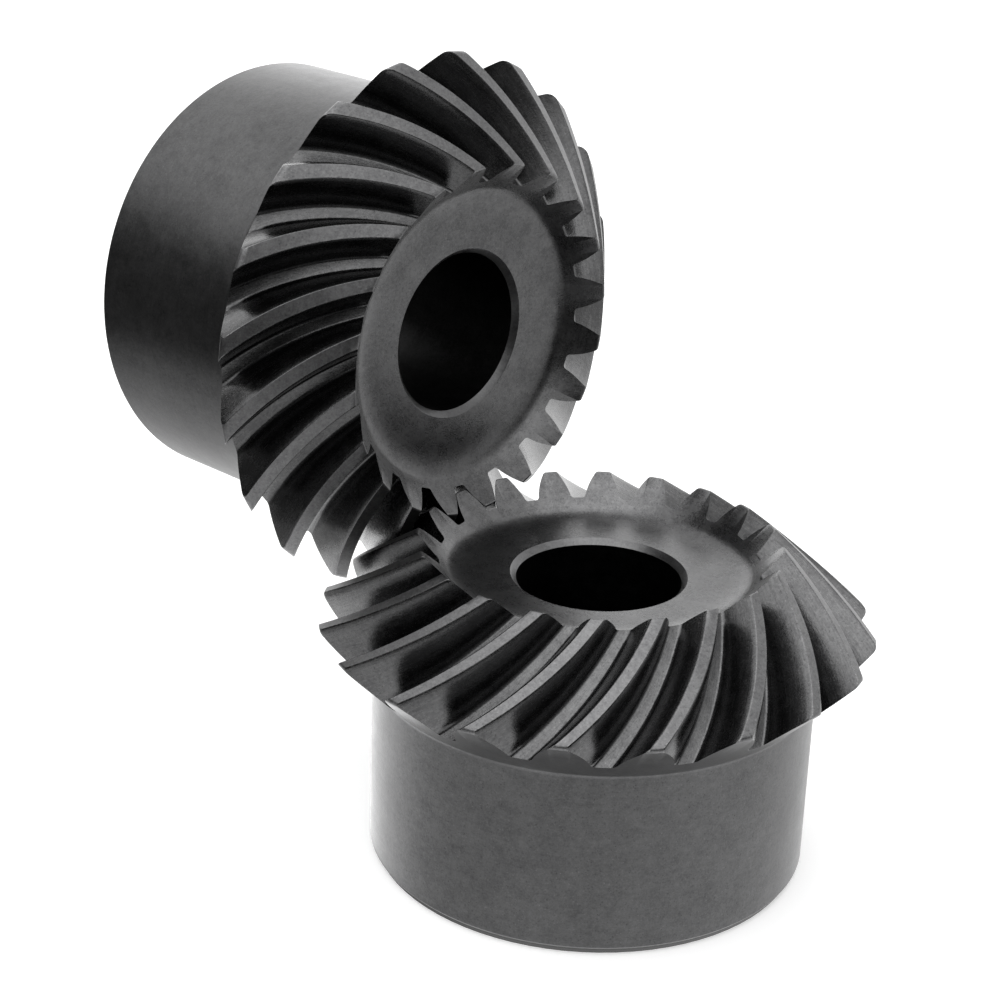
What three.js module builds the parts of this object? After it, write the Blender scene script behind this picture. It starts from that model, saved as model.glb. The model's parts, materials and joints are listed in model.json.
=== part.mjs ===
// Spiral bevel (miter) gear pair, 1:1, shafts crossing at 90 degrees.
// Millimetres, +Z up. The lower gear turns about a vertical axis, the upper
// gear about a horizontal axis along X; both pitch cones share one apex.
import * as THREE from 'three';
import { mergeVertices, toCreasedNormals } from 'three/addons/utils/BufferGeometryUtils.js';

const DEG = Math.PI / 180;

// ---- gear pair -------------------------------------------------------------
const TEETH = 20;                 // both gears
const MODULE = 5.08;              // transverse module at the heel (5 diametral pitch)
const PITCH_ANGLE = 45 * DEG;     // miter pair
const PRESSURE_ANGLE = 20 * DEG;  // normal
const SPIRAL_ANGLE = 35 * DEG;    // at mid face
const CUTTER_RADIUS = 63.5;       // lengthwise tooth curve
const FACE_WIDTH = 25;            // along the pitch cone
const ADDENDUM = 0.85 * MODULE;   // at the heel
const WHOLE_DEPTH = 1.888 * MODULE;
const BACKLASH = 0.30;            // circumferential, both gears together, at the heel
const FILLET = 0.22;              // root fillet radius, in modules
const HEEL_CHAMFER = 0.9;         // knocked-off corner of the blank, at the heel end of the tooth tips

// ---- gear blank ------------------------------------------------------------
const MOUNTING_DISTANCE = 95.25;  // apex to hub back face
const HUB_RADIUS = 43;
const BORE_RADIUS = 15.875;
const BORE_CHAMFER = 1.1;
const HUB_CHAMFER = 0.8;
const DISH_RADIUS = 28.5;         // where the toe cone meets the front face
const DISH_PROFILE = [            // radius, distance below the apex
  [27.2, 38.05], [25.6, 38.3], [23.8, 38.4],
];
const FACE_Z = 38.4;              // front face, distance from the apex

// ---- seating ring under the lower hub --------------------------------------
const SHIM_OUTER = 42;
const SHIM_INNER = 17.5;
const SHIM_THICK = 0.8;
const SHIM_GAP = 0.1;             // running clearance under the hub

// ---- angular positions of one tooth at the heel ----------------------------
const LOWER_PHASE = 213.96;       // degrees about +Z
const UPPER_PHASE = 65.04;        // degrees about +X, from +Y towards +Z

// ---- mesh density ----------------------------------------------------------
const SECTIONS = 7;               // along the face width, before the heel chamfer
const RING = 80;                  // around hub, bore and dish

// ---- derived ---------------------------------------------------------------
const PITCH_RADIUS = MODULE * TEETH / 2;
const CONE = PITCH_RADIUS / Math.sin(PITCH_ANGLE);      // outer cone distance
const CONE_IN = CONE - FACE_WIDTH;
const CONE_MID = CONE - FACE_WIDTH / 2;
const DEDENDUM = WHOLE_DEPTH - ADDENDUM;
const DED_ANGLE = Math.atan(DEDENDUM / CONE);
const TRANSVERSE = Math.atan(Math.tan(PRESSURE_ANGLE) / Math.cos(SPIRAL_ANGLE));
const BASE_ANGLE = Math.asin(Math.cos(TRANSVERSE) * Math.sin(PITCH_ANGLE));
const HALF_TOOTH = Math.PI / (2 * TEETH) - BACKLASH / 4 / PITCH_RADIUS;
const TIP_RADIUS = PITCH_RADIUS + (ADDENDUM - HEEL_CHAMFER) * Math.cos(PITCH_ANGLE);

// azimuth of the spherical involute at polar angle t
function involute(t) {
  const s = Math.acos(Math.min(1, Math.cos(t) / Math.cos(BASE_ANGLE)));
  const k = Math.sin(BASE_ANGLE);
  return s / k - Math.atan(Math.tan(s) / k);
}
const INV_PITCH = involute(PITCH_ANGLE);

// angle of the tooth centre line at cone distance rho, zero at the heel
function trace(rho) {
  const steps = 24;
  const slope = (r) => {
    const sn = (r * r - CONE_MID * CONE_MID
      + 2 * CONE_MID * CUTTER_RADIUS * Math.sin(SPIRAL_ANGLE)) / (2 * r * CUTTER_RADIUS);
    return sn / Math.sqrt(1 - sn * sn) / r;
  };
  let sum = 0;
  const h = (CONE - rho) / steps;
  for (let i = 0; i < steps; i++) {
    const a = rho + i * h;
    sum += h / 6 * (slope(a) + 4 * slope(a + h / 2) + slope(a + h));
  }
  return sum / Math.sin(PITCH_ANGLE);
}

// one point of a tooth section: u along the pitch cone, v above it,
// az relative to the tooth centre at that cone distance
function sectionPoint(u, v, az, centre, hand) {
  const r = u * Math.sin(PITCH_ANGLE) + v * Math.cos(PITCH_ANGLE);
  const z = -(u * Math.cos(PITCH_ANGLE) - v * Math.sin(PITCH_ANGLE));
  const a = centre + hand * trace(Math.hypot(u, v)) + az;
  return [r, a, z];
}

// half of a tooth outline at section u, from root land edge to tip:
// list of [v, half angle]
function halfOutline(u) {
  const m = MODULE * u / CONE;
  const add = ADDENDUM - (CONE - u) * Math.tan(DED_ANGLE)
    - Math.max(0, HEEL_CHAMFER - (CONE - u));
  const ded = DEDENDUM - (CONE - u) * Math.tan(DED_ANGLE);
  const half = (v) => {
    const t = PITCH_ANGLE + Math.atan2(v, u);
    return HALF_TOOTH + INV_PITCH - involute(Math.max(t, BASE_ANGLE));
  };
  const rootR = u * Math.sin(PITCH_ANGLE) - ded * Math.cos(PITCH_ANGLE);
  const f = FILLET * m;
  const v1 = -ded + 0.79 * f;
  const h1 = half(v1);
  const vm = (ADDENDUM * u / CONE * 0.25 + v1 * 0.75) * 0.5;
  const pts = [];
  pts.push([-ded, h1 + 0.98 * f / rootR]);
  pts.push([-ded + 0.22 * f, h1 + 0.35 * f / rootR]);
  pts.push([v1, h1]);
  pts.push([vm, half(vm)]);
  pts.push([add, half(add)]);
  return pts;
}

// full toothed ring at section u: array of [r, az, z], azimuth increasing
function toothRing(u, phase, hand) {
  const half = halfOutline(u);
  const ring = [];
  for (let k = 0; k < TEETH; k++) {
    const centre = phase + k * 2 * Math.PI / TEETH;
    for (const [v, h] of half) ring.push(sectionPoint(u, v, -h, centre, hand));
    for (const [v, h] of [...half].reverse()) ring.push(sectionPoint(u, v, h, centre, hand));
  }
  return ring;
}

const circle = (r, z, n, start) => Array.from({ length: n },
  (_, i) => [r, start + i * 2 * Math.PI / n, z]);

// closed surface from a cyclic list of rings
function ringSolid(rings) {
  const pos = [];
  const base = [];
  for (const ring of rings) {
    base.push(pos.length / 3);
    for (const [r, a, z] of ring) pos.push(r * Math.cos(a), r * Math.sin(a), z);
  }
  const idx = [];
  for (let s = 0; s < rings.length; s++) {
    const t = (s + 1) % rings.length;
    const A = rings[s], B = rings[t], a0 = base[s], b0 = base[t];
    const na = A.length, nb = B.length;
    if (na === nb) {
      for (let i = 0; i < na; i++) {
        const j = (i + 1) % na;
        idx.push(a0 + i, a0 + j, b0 + i, a0 + j, b0 + j, b0 + i);
      }
      continue;
    }
    // rings of different count: walk both by azimuth
    const azA = A.map((p) => p[1]);
    let k0 = 0, best = 1e9;
    const wrap = (x) => x - 2 * Math.PI * Math.round(x / (2 * Math.PI));
    for (let k = 0; k < nb; k++) {
      const d = Math.abs(wrap(B[k][1] - azA[0]));
      if (d < best) { best = d; k0 = k; }
    }
    const bStart = azA[0] + wrap(B[k0][1] - azA[0]);
    const azB = (k) => bStart + (B[k % nb][1] - B[0][1]) + Math.floor(k / nb) * 2 * Math.PI
      - (B[k0][1] - B[0][1]);
    const aAz = (i) => azA[i % na] + Math.floor(i / na) * 2 * Math.PI;
    let i = 0, k = 0;
    while (i < na || k < nb) {
      const stepA = i < na && (k >= nb || aAz(i + 1) <= azB(k0 + k + 1) + 1e-9);
      const ai = a0 + i % na, bk = b0 + (k0 + k) % nb;
      if (stepA) { idx.push(ai, a0 + (i + 1) % na, bk); i++; }
      else { idx.push(ai, b0 + (k0 + k + 1) % nb, bk); k++; }
    }
  }
  return { pos, idx };
}

function toGeometry({ pos, idx }, map) {
  const out = new Float32Array(pos.length);
  for (let i = 0; i < pos.length; i += 3) {
    const p = map(pos[i], pos[i + 1], pos[i + 2]);
    out[i] = p[0]; out[i + 1] = p[1]; out[i + 2] = p[2];
  }
  let vol = 0;
  for (let i = 0; i < idx.length; i += 3) {
    const [a, b, c] = [idx[i] * 3, idx[i + 1] * 3, idx[i + 2] * 3];
    vol += out[a] * (out[b + 1] * out[c + 2] - out[b + 2] * out[c + 1])
      - out[a + 1] * (out[b] * out[c + 2] - out[b + 2] * out[c])
      + out[a + 2] * (out[b] * out[c + 1] - out[b + 1] * out[c]);
  }
  const faces = idx.slice();
  if (vol < 0) for (let i = 0; i < faces.length; i += 3) {
    const t = faces[i]; faces[i] = faces[i + 1]; faces[i + 1] = t;
  }
  let g = new THREE.BufferGeometry();
  g.setAttribute('position', new THREE.BufferAttribute(out, 3));
  g.setIndex(faces);
  g = mergeVertices(g, 1e-5);
  return toCreasedNormals(g, 0.5);
}

function gearRings(phase, hand) {
  const rings = [];
  const ded = DEDENDUM;
  const dedToe = DEDENDUM - FACE_WIDTH * Math.tan(DED_ANGLE);
  const below = (ring, u, v) => ring.map(([, a]) => {
    const r = u * Math.sin(PITCH_ANGLE) + v * Math.cos(PITCH_ANGLE);
    const z = -(u * Math.cos(PITCH_ANGLE) - v * Math.sin(PITCH_ANGLE));
    return [r, a, z];
  });
  // toothed faces, toe to heel
  for (let i = 0; i < SECTIONS - 1; i++) {
    const u = CONE_IN + FACE_WIDTH * i / (SECTIONS - 1);
    rings.push(toothRing(u, phase, hand));
  }
  rings.push(toothRing(CONE - HEEL_CHAMFER, phase, hand));
  rings.push(toothRing(CONE, phase, hand));
  // back cone and hub
  rings.push(below(rings[rings.length - 1], CONE, -ded - 0.9));
  const s0 = phase;
  const hubEdge = CONE * Math.SQRT2 - HUB_RADIUS;
  rings.push(circle(HUB_RADIUS, -hubEdge, RING, s0));
  rings.push(circle(HUB_RADIUS, -(MOUNTING_DISTANCE - HUB_CHAMFER), RING, s0));
  rings.push(circle(HUB_RADIUS - HUB_CHAMFER, -MOUNTING_DISTANCE, RING, s0));
  // bore
  rings.push(circle(BORE_RADIUS + BORE_CHAMFER, -MOUNTING_DISTANCE, RING, s0));
  rings.push(circle(BORE_RADIUS, -(MOUNTING_DISTANCE - BORE_CHAMFER), RING, s0));
  rings.push(circle(BORE_RADIUS, -(FACE_Z + BORE_CHAMFER), RING, s0));
  rings.push(circle(BORE_RADIUS + BORE_CHAMFER, -FACE_Z, RING, s0));
  // front face and dish
  for (const [r, z] of [...DISH_PROFILE].reverse()) rings.push(circle(r, -z, RING, s0));
  const dishEdge = CONE_IN * Math.SQRT2 - DISH_RADIUS;
  rings.push(circle(DISH_RADIUS, -dishEdge, RING, s0));
  rings.push(below(rings[0], CONE_IN, -dedToe - 0.7));
  return rings;
}

const steel = (hex) => new THREE.MeshStandardMaterial({ color: hex, metalness: 0.85, roughness: 0.45 });

const APEX_Z = MOUNTING_DISTANCE + SHIM_THICK + SHIM_GAP;

const lowerSolid = ringSolid(gearRings(LOWER_PHASE * DEG, +1));
const upperSolid = ringSolid(gearRings(UPPER_PHASE * DEG, -1));
const shimSolid = ringSolid([
  circle(SHIM_OUTER, 0, RING, 0), circle(SHIM_OUTER, SHIM_THICK, RING, 0),
  circle(SHIM_INNER, SHIM_THICK, RING, 0), circle(SHIM_INNER, 0, RING, 0),
]);

// the apex sits at x = OFFSET_X so that the pair is centred over the origin
const OFFSET_X = MOUNTING_DISTANCE / 2 - TIP_RADIUS / 2;

const lower = new THREE.Mesh(
  toGeometry(lowerSolid, (x, y, z) => [x + OFFSET_X, y, z + APEX_Z]), steel(0x4a4a4c));
lower.name = 'lower_gear';
const upper = new THREE.Mesh(
  toGeometry(upperSolid, (x, y, z) => [z + OFFSET_X, x, y + APEX_Z]), steel(0x505052));
upper.name = 'upper_gear';
const shim = new THREE.Mesh(
  toGeometry(shimSolid, (x, y, z) => [x + OFFSET_X, y, z]), steel(0x8a8a8c));
shim.name = 'hub_shim';

const group = new THREE.Group();
group.name = 'bevel_gear_pair';
group.add(shim, lower, upper);

export default group;
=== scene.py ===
# Spiral bevel gear pair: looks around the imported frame.
import bpy, json, math
import numpy as np
from mathutils import Matrix, Vector


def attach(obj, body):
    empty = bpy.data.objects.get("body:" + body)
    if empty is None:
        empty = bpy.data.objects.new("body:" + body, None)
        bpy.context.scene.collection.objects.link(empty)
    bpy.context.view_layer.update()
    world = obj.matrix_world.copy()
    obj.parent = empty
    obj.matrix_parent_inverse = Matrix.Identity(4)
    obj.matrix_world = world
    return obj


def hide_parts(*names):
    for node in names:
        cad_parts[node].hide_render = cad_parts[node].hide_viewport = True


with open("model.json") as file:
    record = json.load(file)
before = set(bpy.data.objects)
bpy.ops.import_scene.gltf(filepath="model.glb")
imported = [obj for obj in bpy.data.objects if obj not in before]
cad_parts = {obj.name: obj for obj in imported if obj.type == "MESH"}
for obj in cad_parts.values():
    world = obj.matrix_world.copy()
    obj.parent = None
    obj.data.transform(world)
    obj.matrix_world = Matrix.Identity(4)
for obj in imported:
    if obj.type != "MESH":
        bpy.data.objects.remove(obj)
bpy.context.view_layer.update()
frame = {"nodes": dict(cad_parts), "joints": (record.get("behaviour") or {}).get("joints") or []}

# ---------------------------------------------------------------- dimensions
TEETH, MOD = 20, 5.08
PA, SPIRAL, CUTTER = math.radians(20), math.radians(35), 63.5
FACE, ADD, DEPTH = 25.0, 0.85 * 5.08, 1.888 * 5.08
BACKLASH, FIL = 0.30, 0.22
MD, HUB_R, BORE_R, BORE_CH, HUB_CH = 95.25, 43.0, 15.875, 1.1, 0.8
DISH_R, FACE_Z = 28.5, 38.4
LOWER_PHASE, UPPER_PHASE = 213.96, 65.04
DEL = math.radians(45)
RP = MOD * TEETH / 2
CONE = RP / math.sin(DEL)
CIN, CMID = CONE - FACE, CONE - FACE / 2
DED = DEPTH - ADD
DANG = math.atan(DED / CONE)
AT = math.atan(math.tan(PA) / math.cos(SPIRAL))
BASE = math.asin(math.cos(AT) * math.sin(DEL))
HALF = math.pi / (2 * TEETH) - BACKLASH / 4 / RP
HEEL_ROUND = {1: 0.80, -1: 1.25}      # corner radius of the tooth tips at the heel, by hand of spiral
TOE_ROUND = 0.40

joints = {j["name"]: j for j in frame["joints"]}
OX = joints["lower_spin"]["pos_m"][0] * 1000
AZ = joints["upper_spin"]["pos_m"][2] * 1000


def inv(t):
    s = np.arccos(np.minimum(1.0, np.cos(t) / math.cos(BASE)))
    k = math.sin(BASE)
    return s / k - np.arctan(np.tan(s) / k)


_rho = np.linspace(CONE + 2, CIN - 4, 4001)
_sn = (_rho ** 2 - CMID ** 2 + 2 * CMID * CUTTER * math.sin(SPIRAL)) / (2 * _rho * CUTTER)
_sl = _sn / np.sqrt(1 - _sn ** 2) / _rho
_cum = np.concatenate([[0], np.cumsum((_sl[1:] + _sl[:-1]) / 2 * -np.diff(_rho))])
_zero = np.interp(-CONE, -_rho, _cum)


def trace(rho):
    return (np.interp(-np.asarray(rho), -_rho, _cum) - _zero) / math.sin(DEL)


def half_outline(u, add, brk, thin):
    """[(v, half angle)] from root edge to tip edge at section u; brk is the rounding of the tip edge,
    thin (mm) eases the flank in towards the tip."""
    m = MOD * u / CONE
    ded = DED - (CONE - u) * math.tan(DANG)

    def half(v):
        t = max(DEL + math.atan2(v, u), BASE)
        e = max(0.0, (v + .3 * ded) / (ADD + .3 * ded))
        return HALF + inv(DEL) - float(inv(t)) - thin * e * e / (u * math.sin(DEL))
    rr = u * math.sin(DEL) - ded * math.cos(DEL)
    f = FIL * m
    pts = []
    a0 = math.radians(12)
    v1 = -ded + f * (1 - math.sin(a0))
    h1 = half(v1)
    for k in range(5):
        a = math.pi / 2 + (a0 - math.pi / 2) * k / 5
        pts.append((-ded + f * (1 - math.sin(a)), h1 + f * (math.cos(a0) - math.cos(a)) / rr))
    top = add - brk
    for k in range(9):
        t = k / 8
        v = v1 + (top - v1) * t
        pts.append((v, half(v)))
    rt = u * math.sin(DEL) + add * math.cos(DEL)
    pts.append((add - .29 * brk, half(add) - .29 * brk / rt))
    pts.append((add, half(add) - brk / rt))
    return pts, ded


def tip_height(u, heel):
    add = ADD - (CONE - u) * math.tan(DANG)
    d = CONE - u
    if d < heel:
        add -= heel - math.sqrt(max(0.0, heel ** 2 - (heel - d) ** 2))
    d = u - CIN
    if d < TOE_ROUND:
        add -= TOE_ROUND - math.sqrt(max(0.0, TOE_ROUND ** 2 - (TOE_ROUND - d) ** 2))
    return add


def section(u, phase, hand):
    add = tip_height(u, HEEL_ROUND[hand])
    way = (u - CIN) / FACE               # 0 at the toe, 1 at the heel
    if hand > 0:
        brk, thin = .14 + .10 * way, .26 + .24 * way
    else:
        brk, thin = .08 + .12 * way ** 4, 0.0
    pts, ded = half_outline(u, add, brk, thin)
    prof = [(-ded, -math.pi / TEETH)] + [(v, -h) for v, h in pts] + [(add, 0.0)] \
        + [(v, h) for v, h in reversed(pts)]
    v = np.array([p[0] for p in prof])
    a = np.array([p[1] for p in prof])
    r = u * math.sin(DEL) + v * math.cos(DEL)
    z = -(u * math.cos(DEL) - v * math.sin(DEL))
    cen = hand * trace(np.hypot(u, v))
    # arc length across the tooth, measured from the tip centre
    x = r * a
    ds = np.hypot(np.diff(x), np.diff(v))
    s = np.concatenate([[0], np.cumsum(ds)])
    s = np.abs(s - s[len(pts) + 1])
    R, A, Z, S = [], [], [], []
    for k in range(TEETH):
        c = phase + k * 2 * math.pi / TEETH
        R.append(r); A.append(c + cen + a); Z.append(z); S.append(s)
    return np.concatenate(R), np.concatenate(A), np.concatenate(Z), np.concatenate(S), len(pts)


# zones, one material slot each
FLANK, LAND, TURNED, CHAMF, BORE, FRONT_FACE = 0, 1, 2, 3, 4, 5


def gear_mesh(name, phase, hand):
    phase = math.radians(phase)
    us = [CIN, CIN + .06, CIN + .18, CIN + .35, CIN + .8]
    us += list(np.linspace(CIN + 1.6, CONE - 2.4, 27))
    heel = HEEL_ROUND[hand]
    us += [CONE - 1.9, CONE - heel] + [CONE - heel * (1 - math.sin(t)) for t in np.radians([12, 25, 38, 51, 64, 77, 90])]
    rings = []                       # (r, a, z, s, u, zone of the band that follows)
    for u in us:
        r, a, z, s, npt = section(u, phase, hand)
        rings.append([r, a, z, s, np.full_like(r, u), FLANK])
    n = len(rings[0][0])
    heel_a, toe_a = rings[-1][1], rings[0][1]

    def ring(r, z, a, zone):
        one = np.ones(n)
        rings.append([one * r, a, one * z, one * 0, one * 0, zone])

    def cone_pt(u, v):
        return (u + v) / math.sqrt(2), -(u - v) / math.sqrt(2)
    rings[-1][5] = TURNED
    ring(*cone_pt(CONE, -DED - .12), heel_a, TURNED)
    ring(*cone_pt(CONE, -DED - .9), heel_a, TURNED)
    hub_z = CONE * math.sqrt(2) - HUB_R
    # small radius where the back cone turns into the hub
    fr_ = 1.5
    for t in (0, 8, 16, 24, 31, 38, 45):
        q = math.radians(t)
        zc = hub_z + fr_ * math.tan(math.radians(22.5))
        ring(HUB_R + fr_ * (1 - math.cos(math.radians(45) - q)), -(zc - fr_ * math.sin(math.radians(45) - q)), heel_a, TURNED)
    for k in range(1, 6):
        ring(HUB_R, -(hub_z + .5 + (MD - HUB_CH - hub_z - .5) * k / 6), heel_a, TURNED)
    ring(HUB_R, -(MD - HUB_CH), heel_a, TURNED)
    ring(HUB_R - .12, -(MD - HUB_CH + .2), heel_a, TURNED)
    ring(HUB_R - HUB_CH + .2, -(MD - .12), heel_a, TURNED)
    ring(HUB_R - HUB_CH, -MD, heel_a, TURNED)
    for k in (1, 2, 3):
        ring(HUB_R - HUB_CH + (BORE_R + BORE_CH - HUB_R + HUB_CH) * k / 4, -MD, heel_a, TURNED)
    ring(BORE_R + BORE_CH, -MD, heel_a, CHAMF)
    nb = 26
    for k in range(nb + 1):
        t = k / nb
        ring(BORE_R, -(MD - BORE_CH) + (MD - FACE_Z - 2 * BORE_CH) * t, heel_a * (1 - t) + toe_a * t,
             BORE if k < nb else CHAMF)
    ring(BORE_R + BORE_CH - .06, -(FACE_Z + .06), toe_a, CHAMF)
    ring(BORE_R + BORE_CH + .05, -FACE_Z, toe_a, FRONT_FACE)
    ring(19.2, -FACE_Z, toe_a, FRONT_FACE)
    ring(21.6, -FACE_Z, toe_a, FRONT_FACE)
    # shallow dish: the flat face curves up into the toe cone
    edge_z = CIN * math.sqrt(2) - DISH_R
    x0, x1 = 23.2, DISH_R - (FACE_Z - edge_z)
    x2, z2 = DISH_R + .9, edge_z - .9
    toe = {}                                     # share of the painted toe-cone brightening, by ring, growing with the surface slope
    for t in np.linspace(0, 1, 15):
        x = x0 * (1 - t) ** 2 + 2 * x1 * t * (1 - t) + x2 * t * t
        zz = FACE_Z * (1 - t * t) + z2 * t * t
        slope = math.degrees(math.atan2((FACE_Z - z2) * t, (x1 - x0) * (1 - t) + (x2 - x1) * t))
        toe[len(rings)] = (slope / 45) ** 1.5
        ring(x, -zz, toe_a, FRONT_FACE)
    ded_toe = DED - FACE * math.tan(DANG)
    for v in (-ded_toe - .9, -ded_toe - .1):
        toe[len(rings)] = 1.0
        ring(*cone_pt(CIN, v), toe_a, FRONT_FACE)

    m = len(rings)
    R = np.array([q[0] for q in rings]); A = np.array([q[1] for q in rings])
    Z = np.array([q[2] for q in rings])
    co = np.stack([R * np.cos(A), R * np.sin(A), Z], -1).reshape(-1, 3)
    i = np.arange(m)[:, None]; j = np.arange(n)[None]
    i2, j2 = (i + 1) % m, (j + 1) % n
    quads = np.stack([i * n + j, i * n + j2, i2 * n + j2, i2 * n + j], -1).reshape(-1, 4)
    # material of each quad
    per = n // TEETH
    tip = npt + 1
    zone = np.repeat(np.array([q[5] for q in rings])[:, None], n, 1)
    land_cols = {tip - 1, tip}                       # quads across the top land
    for c in range(n):
        if c % per in land_cols:
            zone[:len(us) - 1, c] = LAND
    zone = zone.reshape(-1)
    # outward faces
    P = co[quads]
    vol = np.einsum("ij,ij->i", P[:, 0], np.cross(P[:, 1], P[:, 2])).sum() \
        + np.einsum("ij,ij->i", P[:, 0], np.cross(P[:, 2], P[:, 3])).sum()
    if vol < 0:
        quads = quads[:, ::-1]
    # edge closeness: 1 on an outer edge, 0 inside; it places the worn line and painted edge highlight
    E = np.zeros((m, n))
    E[0, :] = .78; E[len(us) - 1, :] = .72
    for c in range(n):
        if c % per in (tip - 2, tip - 1, tip + 1, tip + 2):
            E[:len(us), c] = .80
            E[:3, c] = 1; E[len(us) - 9:len(us), c] = .95
    # root land verts at the ends get little of the worn line and painted edge highlight
    for c in range(n):
        if c % per in (0, 1, per - 1):
            E[:len(us), c] *= .15
    T = np.zeros((m, n))
    T[0, :] = 1
    for k, val in toe.items():
        T[k, :] = val
    return co / 1000, quads, zone, E.reshape(-1), np.array([q[3] for q in rings]).reshape(-1), \
        np.array([q[4] for q in rings]).reshape(-1), T.reshape(-1)


def put(name, geo, mapping, mats):
    co, quads, zone, edge, s, u, toe = geo
    me = bpy.data.meshes.new(name)
    w = np.array([mapping(*p) for p in np.eye(3)]).T       # linear part
    o = np.array([OX, 0, AZ]) / 1000
    world = co @ w.T + o
    nq = len(quads)
    me.vertices.add(len(co)); me.vertices.foreach_set("co", world.astype(np.float32).ravel())
    me.loops.add(nq * 4); me.loops.foreach_set("vertex_index", quads.astype(np.int32).ravel())
    me.polygons.add(nq)
    me.polygons.foreach_set("loop_start", np.arange(0, nq * 4, 4, dtype=np.int32))
    me.polygons.foreach_set("loop_total", np.full(nq, 4, np.int32))
    me.polygons.foreach_set("material_index", zone.astype(np.int32))
    me.polygons.foreach_set("use_smooth", np.ones(nq, bool))
    for nm, val in (("edge", edge), ("across", s), ("along", u), ("toe", toe)):
        at = me.attributes.new(nm, "FLOAT", "POINT")
        at.data.foreach_set("value", val.astype(np.float32))
    at = me.attributes.new("loc", "FLOAT_VECTOR", "POINT")
    at.data.foreach_set("vector", (co * 1000).astype(np.float32).ravel())
    me.update(calc_edges=True)
    me.validate()
    me.set_sharp_from_angle(angle=math.radians(26))
    for mt in mats:
        me.materials.append(mt)
    ob = bpy.data.objects.new(name, me)
    bpy.context.scene.collection.objects.link(ob)
    return ob


# ---------------------------------------------------------------- materials
class N:
    """Small helper around a node tree."""
    def __init__(self, mat):
        self.t = mat.node_tree
        self.t.nodes.clear()

    def new(self, kind, **kw):
        nd = self.t.nodes.new(kind)
        for k, v in kw.items():
            setattr(nd, k, v)
        return nd

    def link(self, a, b):
        self.t.links.new(a, b)

    def attr(self, name, vec=False):
        nd = self.new("ShaderNodeAttribute", attribute_name=name)
        return nd.outputs["Vector" if vec else "Fac"]

    def math(self, op, a, b=None, c=None, clamp=False):
        nd = self.new("ShaderNodeMath", operation=op, use_clamp=clamp)
        for k, v in enumerate((a, b, c)):
            if v is None:
                continue
            if isinstance(v, (int, float)):
                nd.inputs[k].default_value = v
            else:
                self.link(v, nd.inputs[k])
        return nd.outputs[0]

    def xyz(self, x, y, z):
        nd = self.new("ShaderNodeCombineXYZ")
        for k, v in enumerate((x, y, z)):
            if isinstance(v, (int, float)):
                nd.inputs[k].default_value = v
            else:
                self.link(v, nd.inputs[k])
        return nd.outputs[0]

    def sep(self, v):
        nd = self.new("ShaderNodeSeparateXYZ")
        self.link(v, nd.inputs[0])
        return nd.outputs

    def noise(self, vec, scale, detail=3.0, rough=.55, dist=0.0):
        nd = self.new("ShaderNodeTexNoise", noise_dimensions="3D")
        self.link(vec, nd.inputs["Vector"])
        nd.inputs["Scale"].default_value = scale
        nd.inputs["Detail"].default_value = detail
        nd.inputs["Roughness"].default_value = rough
        nd.inputs["Distortion"].default_value = dist
        return nd.outputs["Fac"]

    def ramp(self, fac, stops):
        nd = self.new("ShaderNodeValToRGB")
        self.link(fac, nd.inputs[0])
        el = nd.color_ramp.elements
        while len(el) < len(stops):
            el.new(.5)
        for e, (p, c) in zip(el, stops):
            e.position = p
            e.color = (c, c, c, 1) if isinstance(c, (int, float)) else (*c, 1)
        return nd.outputs["Color"]

    def mix(self, fac, a, b, blend="MIX"):
        nd = self.new("ShaderNodeMix", data_type="RGBA", blend_type=blend)
        for sock, v in ((nd.inputs[0], fac), (nd.inputs[6], a), (nd.inputs[7], b)):
            if isinstance(v, (int, float)):
                sock.default_value = v if sock.type == "VALUE" else (v, v, v, 1)
            elif isinstance(v, tuple):
                sock.default_value = (*v, 1)
            else:
                self.link(v, sock)
        return nd.outputs[2]

    def bump(self, height, strength, dist, normal=None):
        nd = self.new("ShaderNodeBump")
        nd.inputs["Strength"].default_value = strength
        nd.inputs["Distance"].default_value = dist
        self.link(height, nd.inputs["Height"])
        if normal is not None:
            self.link(normal, nd.inputs["Normal"])
        return nd.outputs["Normal"]

    def out(self, color, rough, normal, metallic=.0, spec=.5, aniso=0.0):
        b = self.new("ShaderNodeBsdfPrincipled")
        self.link(color, b.inputs["Base Color"])
        self.link(rough, b.inputs["Roughness"])
        self.link(normal, b.inputs["Normal"])
        b.inputs["Metallic"].default_value = metallic
        b.inputs["Specular IOR Level"].default_value = spec
        b.inputs["Anisotropic"].default_value = aniso
        o = self.new("ShaderNodeOutputMaterial")
        self.link(b.outputs[0], o.inputs[0])
        return b


def new_mat(name):
    m = bpy.data.materials.new(name)
    m.use_nodes = True
    return m, N(m)


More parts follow.
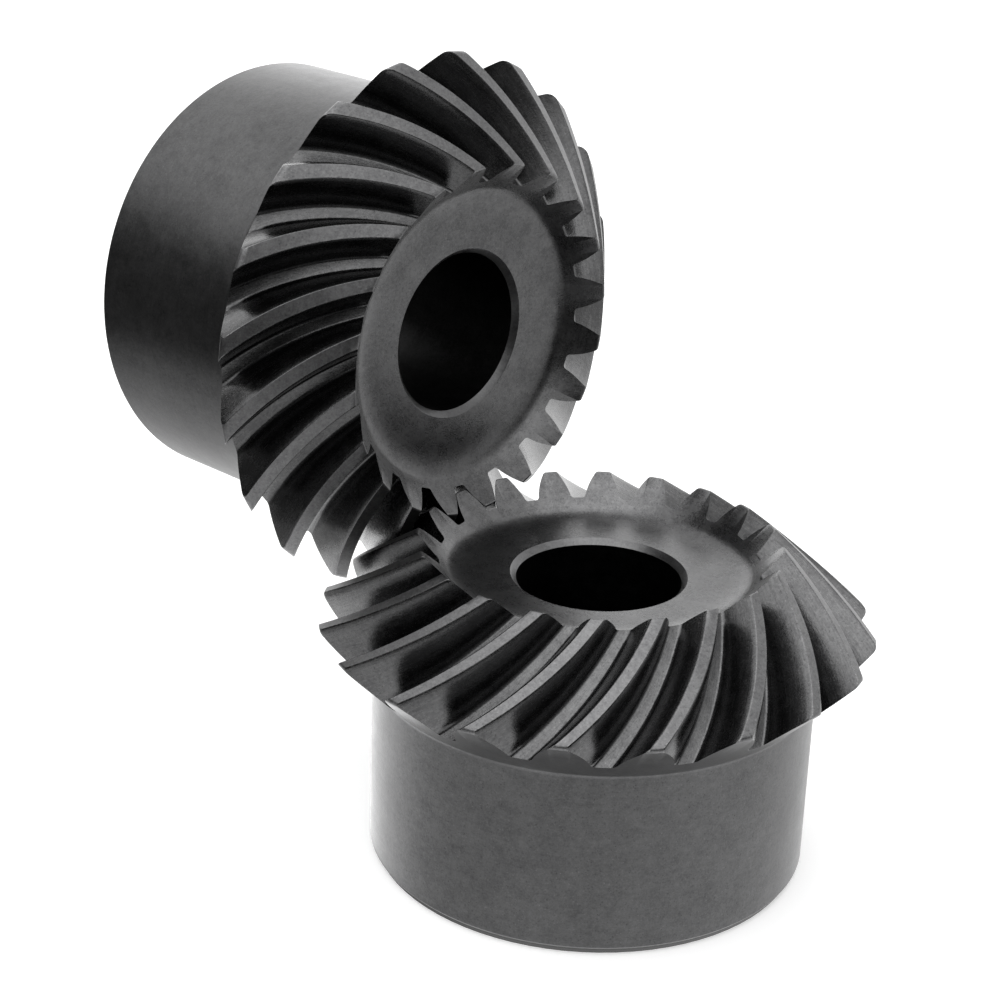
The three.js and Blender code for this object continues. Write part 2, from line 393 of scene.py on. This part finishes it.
def oxide(name, zone, seed, dark, light, rough, soft=.09):
    """Black-oxide steel. zone picks the machining marks."""
    m, n = new_mat(name)
    loc = n.attr("loc", True)
    x, y, z = n.sep(loc)
    sx = n.xyz(n.math("ADD", x, seed * 17.3), n.math("ADD", y, seed * 5.1), z)
    big = n.noise(sx, .05, 3, .55, .6)               # cloudy tone of the oxide
    mid = n.noise(sx, .30, 4, .6)                    # blotches a few millimetres wide
    fine = n.noise(sx, 1.25, 3, .65)                 # half-millimetre mottle
    grain = n.noise(sx, 2.9, 3, .7)                  # blasted grain
    r = n.math("SQRT", n.math("ADD", n.math("MULTIPLY", x, x), n.math("MULTIPLY", y, y)))
    edge = n.attr("edge")
    along, across = n.attr("along"), n.attr("across")
    if zone in ("turned", "face", "chamfer", "bore"):
        # lathe marks: follow radius and height, wander and fade every few millimetres
        lane = n.xyz(n.math("ADD", r, n.math("MULTIPLY", mid, .5)), z, n.math("MULTIPLY", big, 2.0))
        marks = n.noise(lane, 2.9, 4, .7)
        wide = n.noise(n.xyz(n.math("MULTIPLY", x, .35), n.math("MULTIPLY", y, .35), n.math("MULTIPLY", z, 1.2)), .9, 3, .6)
        mark_h, grain_h, w_grain, w_mark = .000008, .000040, .44, .08
    elif zone == "land":
        # turned blank surface left on the tooth tips
        lane = n.xyz(r, z, n.math("MULTIPLY", mid, .5))
        marks = n.noise(lane, 3.4, 3, .7)
        wide = n.noise(sx, .9, 3, .6)
        mark_h, grain_h, w_grain, w_mark = .000008, .000045, .58, .10
    else:
        # cutter marks run lengthwise along each flank
        lane = n.xyz(n.math("MULTIPLY", along, .07), n.math("MULTIPLY", across, 1.0),
                     n.math("ADD", n.math("MULTIPLY", x, .04), n.math("MULTIPLY", y, .05)))
        marks = n.noise(lane, 3.1, 3, .7)
        wide = n.noise(lane, .8, 2, .5)
        mark_h, grain_h, w_grain, w_mark = .000026, .000048, .42, .24
    # tone: clouds, blotches, marks and grain, weights add up to one
    rest = 1 - w_grain - w_mark
    tone = n.math("ADD", n.math("ADD", n.math("MULTIPLY", big, rest * .35), n.math("MULTIPLY", mid, rest * .45)),
                  n.math("ADD", n.math("MULTIPLY", wide, rest * .20),
                         n.math("ADD", n.math("MULTIPLY", marks, w_mark),
                                n.math("ADD", n.math("MULTIPLY", fine, w_grain * .45), n.math("MULTIPLY", grain, w_grain * .55)))))
    col = n.ramp(tone, [(.5 - soft, (dark, dark, dark * 1.02)), (.5 + soft, (light, light, light * 1.01))])
    # painted light: the face is drawn up to 30% lighter as it tilts up into the toe cone
    if zone == "face":
        col = n.mix(1.0, col, n.math("ADD", n.math("MULTIPLY", n.attr("toe"), .30), 1.0), "MULTIPLY")
    # small pale and dark specks where the oxide is thin or pitted
    dots = n.noise(sx, 2.9, 2, .6)
    pale = n.ramp(dots, [(.67, 0.0), (.74, 1.0)])
    pit = n.ramp(dots, [(.28, 1.0), (.345, 0.0)])
    col = n.mix(n.math("MULTIPLY", pale, .30), col, (light * 1.9, light * 1.9, light * 1.9))
    col = n.mix(n.math("MULTIPLY", pit, .55), col, (dark * .35, dark * .35, dark * .36))
    if zone in ("land", "flank"):
        # bare line along the sharp edges, in fine broken strokes: partly worn bare steel, partly a painted edge
        # highlight
        rub_and_glint = n.ramp(n.noise(sx, 3.4, 3, .6), [(.42, 0.0), (.70, 1.0)])
        wear_and_edge_highlight = n.math("MULTIPLY", n.math("POWER", edge, 6.0), rub_and_glint, clamp=True)
        col = n.mix(n.math("MULTIPLY", wear_and_edge_highlight, .85), col, (.36, .36, .36))
    ro = n.math("ADD", n.math("MULTIPLY", n.math("SUBTRACT", marks, .5), .12),
                n.math("ADD", n.math("MULTIPLY", n.math("SUBTRACT", mid, .5), .16),
                       n.math("ADD", n.math("MULTIPLY", n.math("SUBTRACT", grain, .5), .14), rough)), clamp=True)
    nrm = n.bump(marks, .5, mark_h)
    nrm = n.bump(mid, .35, .00012, nrm)
    nrm = n.bump(grain, .5, grain_h, nrm)
    n.out(col, ro, nrm, metallic=1.0)
    return m


def mats(seed):
    tag = {1: "lower", 2: "upper"}[seed]
    k, kl = {1: (1.10, 1.10), 2: (.90, 1.02)}[seed]
    return [oxide(f"oxide_flank_{tag}", "flank", seed, .070 * k, .146 * k, .26),
            oxide(f"oxide_land_{tag}", "land", seed, .115 * kl, .195 * kl, .42, .075),
            oxide(f"oxide_turned_{tag}", "turned", seed, .078 * k, .132 * k, .35),
            oxide(f"oxide_chamfer_{tag}", "chamfer", seed, .096 * k, .162 * k, .34),
            # the bore is drawn far darker than the other oxide: painted shade down the hole
            oxide(f"painted_shade_bore_{tag}", "bore", seed, .015, .034, .34),
            oxide(f"oxide_face_{tag}", "face", seed + 2, .072 * k, .122 * k, .29, .065)]


lower = put("lower_spiral_gear", gear_mesh("lower", LOWER_PHASE, +1), lambda x, y, z: (x, y, z), mats(1))
upper = put("upper_spiral_gear", gear_mesh("upper", UPPER_PHASE, -1), lambda x, y, z: (z, x, y), mats(2))
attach(lower, "lower"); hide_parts("lower_gear")
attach(upper, "upper"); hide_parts("upper_gear")

# seating ring: CAD solid kept, ground steel finish
shim_mat, sn = new_mat("ground_ring")
geo = sn.new("ShaderNodeTexCoord").outputs["Object"]
sx_, sy_, sz_ = sn.sep(geo)
cx_ = sn.math("SUBTRACT", sx_, OX / 1000)
rr_ = sn.math("SQRT", sn.math("ADD", sn.math("MULTIPLY", cx_, cx_), sn.math("MULTIPLY", sy_, sy_)))
ringlane = sn.xyz(rr_, sz_, 0.0)
rm = sn.noise(ringlane, 3800, 3, .7)
sc_ = sn.ramp(rm, [(.3, .10), (.7, .16)])
sro = sn.math("ADD", sn.math("MULTIPLY", rm, .2), .32)
sn.out(sc_, sro, sn.bump(rm, .4, .00002), metallic=1.0)
shim = frame["nodes"]["hub_shim"]
shim.data.materials.clear(); shim.data.materials.append(shim_mat)

# ---------------------------------------------------------------- camera
S = 53.85 / 1000
CAM = dict(C=(4.913, -5.9321, 2.7763), az=42.21, el=22.87, roll=2.14, f=2378.3, cx=503.8, cy=506.3)
az, el, ro = (math.radians(CAM[k]) for k in ("az", "el", "roll"))
back = Vector((math.sin(az) * math.cos(el), -math.cos(az) * math.cos(el), math.sin(el)))
right = (-back).cross(Vector((0, 0, 1))).normalized()
upv = right.cross(-back)
r2 = right * math.cos(ro) + upv * math.sin(ro)
u2 = -right * math.sin(ro) + upv * math.cos(ro)
cam = bpy.data.objects.new("camera", bpy.data.cameras.new("camera"))
bpy.context.scene.collection.objects.link(cam)
pos = Vector(CAM["C"]) * S + Vector((OX / 1000, 0, AZ / 1000))
cam.matrix_world = Matrix(((r2.x, u2.x, back.x, pos.x), (r2.y, u2.y, back.y, pos.y),
                           (r2.z, u2.z, back.z, pos.z), (0, 0, 0, 1)))
cam.data.sensor_width = 36
cam.data.lens = CAM["f"] * 36 / 1000
cam.data.shift_x = -(CAM["cx"] - 500) / 1000
cam.data.shift_y = (CAM["cy"] - 500) / 1000
cam.data.clip_start, cam.data.clip_end = .01, 20
bpy.context.scene.camera = cam

# ---------------------------------------------------------------- stage
bpy.ops.mesh.primitive_plane_add(size=8, location=(0, 0, -.0001))
floor = bpy.context.object
floor.name = "floor"
fm, fn = new_mat("floor_paper")
ft = fn.new("ShaderNodeTexCoord").outputs["Object"]
fc = fn.ramp(fn.noise(ft, 3, 2, .5), [(.3, .80), (.7, .82)])
fr = fn.math("ADD", fn.math("MULTIPLY", fn.noise(ft, 60, 2, .5), .05), .85)
fb = fn.out(fc, fr, fn.bump(fn.noise(ft, 900, 2, .5), .02, .0001), spec=.2)
fb.inputs["Emission Color"].default_value = (1, 1, 1, 1)
fb.inputs["Emission Strength"].default_value = .38
floor.visible_glossy = False
floor.data.materials.append(fm)

# the floor down the lower bore lies in shadow
bv = [(OX / 1000 + .0168 * math.cos(i * math.pi / 32), .0168 * math.sin(i * math.pi / 32), .0004) for i in range(64)]
well_me = bpy.data.meshes.new("bore_floor")
well_me.from_pydata(bv, [], [tuple(range(64))])
well = bpy.data.objects.new("bore_floor", well_me)
bpy.context.scene.collection.objects.link(well)
wm, wn = new_mat("floor_in_shade")
wt = wn.new("ShaderNodeTexCoord").outputs["Object"]
wn.out(wn.ramp(wn.noise(wt, 300, 2, .5), [(.3, .05), (.7, .07)]), wn.math("ADD", wn.math("MULTIPLY", wn.noise(wt, 500, 2, .5), .05), .85),
       wn.bump(wn.noise(wt, 900, 2, .5), .02, .0001), spec=.1)
well_me.materials.append(wm)

# dark flag low round the camera's side, seen only in reflections
fv, ff = [], []
for i in range(25):
    q = az - math.pi / 2 + math.radians(-125 + 190 * i / 24)
    for h in (-.012, .13 + .10 * max(0.0, 1 - i / 12)):
        fv.append((.27 * math.cos(q), .27 * math.sin(q), h))
    if i:
        ff.append((2 * i - 2, 2 * i, 2 * i + 1, 2 * i - 1))
flag_me = bpy.data.meshes.new("studio_flag")
flag_me.from_pydata(fv, [], ff)
flag = bpy.data.objects.new("studio_flag", flag_me)
bpy.context.scene.collection.objects.link(flag)
FLAG = [.06, .03, .02, .04]           # left, front left, front, right
for k_, glow in enumerate(FLAG):
    gm, gn = new_mat(f"flag_cloth_{k_}")
    gt = gn.new("ShaderNodeTexCoord").outputs["Object"]
    gc = gn.ramp(gn.noise(gt, 40, 2, .5), [(.3, .010), (.7, .014)])
    gb = gn.out(gc, gn.math("ADD", gn.math("MULTIPLY", gn.noise(gt, 90, 2, .5), .05), .9), gn.bump(gn.noise(gt, 500, 2, .5), .1, .0002), spec=.1)
    gb.inputs["Emission Color"].default_value = (1, 1, 1, 1)
    gb.inputs["Emission Strength"].default_value = glow
    flag_me.materials.append(gm)
for k_, f_ in enumerate(flag_me.polygons):
    f_.material_index = k_ // 6
flag.visible_camera = flag.visible_diffuse = flag.visible_shadow = False

# bright sheet on the floor left of and behind the lower hub, seen only in reflections
cv, cf, cg = [], [], []
turns, reach = np.linspace(33, 89, 15), [1, 15, 35, 60, 85, 110]
for t_ in turns:
    for d_ in reach:
        a0 = az - math.pi / 2 - math.radians(t_)
        a1 = az - math.pi / 2 - math.radians(2 * t_)
        cv.append((OX / 1000 + .0435 * math.cos(a0) + d_ / 1000 * math.cos(a1),
                   .0435 * math.sin(a0) + d_ / 1000 * math.sin(a1), .0003))
        cg.append(float(np.interp(t_, [33, 37, 48, 56, 66, 73, 79], [.75, .75, 1.0, 1.42, 1.86, 2.1, 2.6])))
for i in range(len(turns) - 1):
    for j in range(len(reach) - 1):
        k_ = i * len(reach) + j
        cf.append((k_, k_ + 1, k_ + len(reach) + 1, k_ + len(reach)))
sheet_me = bpy.data.meshes.new("bright_sheet")
sheet_me.from_pydata(cv, [], cf)
ga = sheet_me.attributes.new("glow", "FLOAT", "POINT")
ga.data.foreach_set("value", np.array(cg, np.float32))
sheet = bpy.data.objects.new("bright_sheet", sheet_me)
bpy.context.scene.collection.objects.link(sheet)
bm_, bn = new_mat("sheet_paper")
bt = bn.new("ShaderNodeTexCoord").outputs["Object"]
bb = bn.out(bn.ramp(bn.noise(bt, 40, 2, .5), [(.3, .05), (.7, .06)]), bn.math("ADD", bn.math("MULTIPLY", bn.noise(bt, 90, 2, .5), .05), .9),
            bn.bump(bn.noise(bt, 500, 2, .5), .1, .0002), spec=.1)
bb.inputs["Emission Color"].default_value = (1, 1, 1, 1)
bn.link(bn.attr("glow"), bb.inputs["Emission Strength"])
sheet_me.materials.append(bm_)
sheet.visible_camera = sheet.visible_diffuse = sheet.visible_shadow = False

# soft tent: bright above, below and behind, dim at eye level on the camera's side
world = bpy.data.worlds.new("studio")
bpy.context.scene.world = world
world.use_nodes = True
W = N(world)
d = W.new("ShaderNodeTexCoord").outputs["Generated"]
dx, dy, dz = W.sep(d)
FRONT = (math.sin(az), -math.cos(az))          # floor direction from the object to the camera
SIDE = (math.cos(az), math.sin(az))            # to the right of the picture
f_ = W.math("ADD", W.math("MULTIPLY", dx, FRONT[0]), W.math("MULTIPLY", dy, FRONT[1]))
s_ = W.math("ADD", W.math("MULTIPLY", dx, SIDE[0]), W.math("MULTIPLY", dy, SIDE[1]))
turn = W.math("ADD", W.math("MULTIPLY", W.math("ARCTAN2", s_, f_), .5 / math.pi), .5)   # .5 front, .75 right


RINGS = []


def around(vals):
    """brightness by azimuth; vals start behind and go left, front, right"""
    k = len(vals)
    nd = W.new("ShaderNodeValToRGB")
    nd.color_ramp.interpolation = "B_SPLINE"
    W.link(turn, nd.inputs[0])
    el_ = nd.color_ramp.elements
    while len(el_) < k + 1:
        el_.new(.5)
    for i in range(k + 1):
        c = vals[i % k] / 5
        el_[i].position = i / k
        el_[i].color = (c, c, c, 1)
    RINGS.append(nd)
    return W.math("MULTIPLY", W.sep(nd.outputs[0])[0], 5.0)


def blend(lo, hi, a_, b_):
    nd = W.new("ShaderNodeMapRange", interpolation_type="SMOOTHSTEP")
    W.link(dz, nd.inputs["Value"])
    nd.inputs["From Min"].default_value, nd.inputs["From Max"].default_value = lo, hi
    t_ = nd.outputs[0]
    return W.math("ADD", W.math("MULTIPLY", a_, W.math("SUBTRACT", 1.0, t_)), W.math("MULTIPLY", b_, t_))


#                behind  b-left left  f-left front f-right right b-right
FLOOR_RING = around([1.60, .50, .30, 1.05, .70, 1.10, 1.25, 1.25])
EYE_RING = around([2.30, 2.10, 1.30, .25, .05, .12, .70, 1.50])
HIGH_RING = around([1.00, 1.00, 1.35, 2.10, 2.20, 1.50, .80, .60])
bottom = W.math("ADD", 1.25, 0.0)
top = W.math("ADD", 2.1, 0.0)
low = blend(-.98, -.42, bottom, FLOOR_RING)
eye = blend(-.42, .208, low, EYE_RING)
high = blend(.208, .766, eye, HIGH_RING)
lum = blend(.80, 1.0, high, top)
bg1 = W.new("ShaderNodeBackground"); bg1.inputs[0].default_value = (1, 1, 1, 1); W.link(lum, bg1.inputs[1])
bg2 = W.new("ShaderNodeBackground"); bg2.inputs[0].default_value = (1, 1, 1, 1); bg2.inputs[1].default_value = 1.0
lp = W.new("ShaderNodeLightPath")
mx = W.new("ShaderNodeMixShader")
wo = W.new("ShaderNodeOutputWorld")
W.link(lp.outputs["Is Camera Ray"], mx.inputs[0])
W.link(bg1.outputs[0], mx.inputs[1]); W.link(bg2.outputs[0], mx.inputs[2])
W.link(mx.outputs[0], wo.inputs[0])

bpy.context.scene.view_settings.view_transform = "Standard"
bpy.context.scene.view_settings.look = "None"

bpy.context.view_layer.update()
